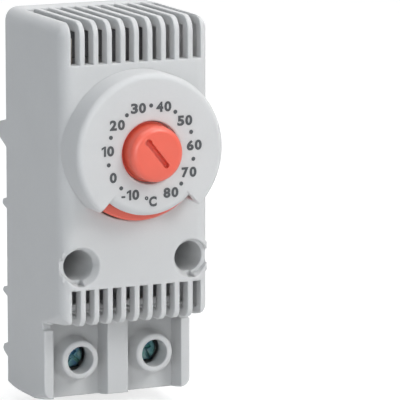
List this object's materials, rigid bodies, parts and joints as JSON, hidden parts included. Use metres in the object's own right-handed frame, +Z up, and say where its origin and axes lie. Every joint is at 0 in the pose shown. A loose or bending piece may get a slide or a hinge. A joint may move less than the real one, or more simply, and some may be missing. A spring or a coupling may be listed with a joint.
{
  "type": "heater thermostat",
  "caption": "Slim light grey panel heater thermostat for a mounting rail, with a round scale, red setting knob, vent slots and screw terminals.",
  "frame": {"origin": "On the mounting rail's centre line at mid width, in the plane at the rear of the case where the rail's lips touch.", "axes": "+X to the right seen from the front, +Y from the front towards the rail, +Z up. The scale faces -Y."},
  "size_m": [0.033, 0.0451, 0.0833],
  "materials": {
    "case_plastic": "fine matt moulded plastic, light grey",
    "red_plastic": "satin moulded plastic, light red",
    "dark_plastic": "matt glass-filled plastic, dark grey",
    "spring_steel": "bright drawn steel",
    "plated_steel": "rolled strip with a dull plating",
    "zinc_steel": "blue passivated zinc",
    "brass": "plain stamped and turned brass",
    "silver_contact": "polished silver alloy",
    "magnet": "dull ferrite"
  },
  "bodies": {
    "case": {"housing": "case_plastic", "rear_plate": "case_plastic", "spindle_nut": "brass", "carrier": "dark_plastic", "lever_pin": "spring_steel", "fixed_contact": "silver_contact", "fixed_bracket": "brass", "snap_magnet": "magnet", "busbar_left": "brass", "busbar_right": "brass", "latch_spring": "spring_steel"},
    "latch": {"rail_latch": "case_plastic"},
    "wheel": {"setting_wheel": "red_plastic"},
    "spindle": {"spindle": "brass"},
    "lever": {"set_lever": "plated_steel"},
    "bimetal": {"bimetal_blade": "plated_steel", "moving_contact": "silver_contact"},
    "screw_l": {"screw_left": "zinc_steel"},
    "screw_r": {"screw_right": "zinc_steel"},
    "clamp_l": {"cage_left": "zinc_steel"},
    "clamp_r": {"cage_right": "zinc_steel"}
  },
  "joints": [
    {"name": "temperature_wheel", "type": "hinge", "parent": "case", "child": "wheel", "pos_m": [0, -0.0371, 0.024], "axis": [0, 1, 0], "range_deg": [-114.2, 191.7]},
    {"name": "spindle_feed", "type": "slide", "parent": "wheel", "child": "spindle", "axis": [0, 1, 0], "range_m": [-0.000399, 0.0002379]},
    {"name": "lever_tilt", "type": "hinge", "parent": "case", "child": "lever", "pos_m": [0, -0.0174, 0.0108], "axis": [-1, 0, 0], "range_deg": [-1.8, 1.1]},
    {"name": "bimetal_bend", "type": "hinge", "parent": "lever", "child": "bimetal", "pos_m": [0, -0.0147, 0.036], "axis": [1, 0, 0], "range_deg": [-1, 1.5], "stiffness_Nm_per_rad": 0.02},
    {"name": "latch_slide", "type": "slide", "parent": "case", "child": "latch", "axis": [0, 0, -1], "range_m": [0, 0.003], "stiffness_N_per_m": 200, "springref_m": -0.006, "deforming": ["latch_spring"]},
    {"name": "screw_left_turn", "type": "hinge", "parent": "case", "child": "screw_l", "pos_m": [-0.0084, -0.014, -0.0217], "axis": [0, 1, 0], "range_deg": [0, 1260]},
    {"name": "clamp_left_slide", "type": "slide", "parent": "case", "child": "clamp_l", "axis": [0, -1, 0], "range_m": [0, 0.0021]},
    {"name": "screw_right_turn", "type": "hinge", "parent": "case", "child": "screw_r", "pos_m": [0.0084, -0.014, -0.0217], "axis": [0, 1, 0], "range_deg": [0, 1260]},
    {"name": "clamp_right_slide", "type": "slide", "parent": "case", "child": "clamp_r", "axis": [0, -1, 0], "range_m": [0, 0.0021]}
  ],
  "couplings": [
    {"joint": "temperature_wheel", "follows": "spindle_feed", "rad_per_m": -8377.6},
    {"joint": "lever_tilt", "follows": "spindle_feed", "rad_per_m": 75.758},
    {"joint": "screw_left_turn", "follows": "clamp_left_slide", "rad_per_m": 10472},
    {"joint": "screw_right_turn", "follows": "clamp_right_slide", "rad_per_m": 10472}
  ]
}
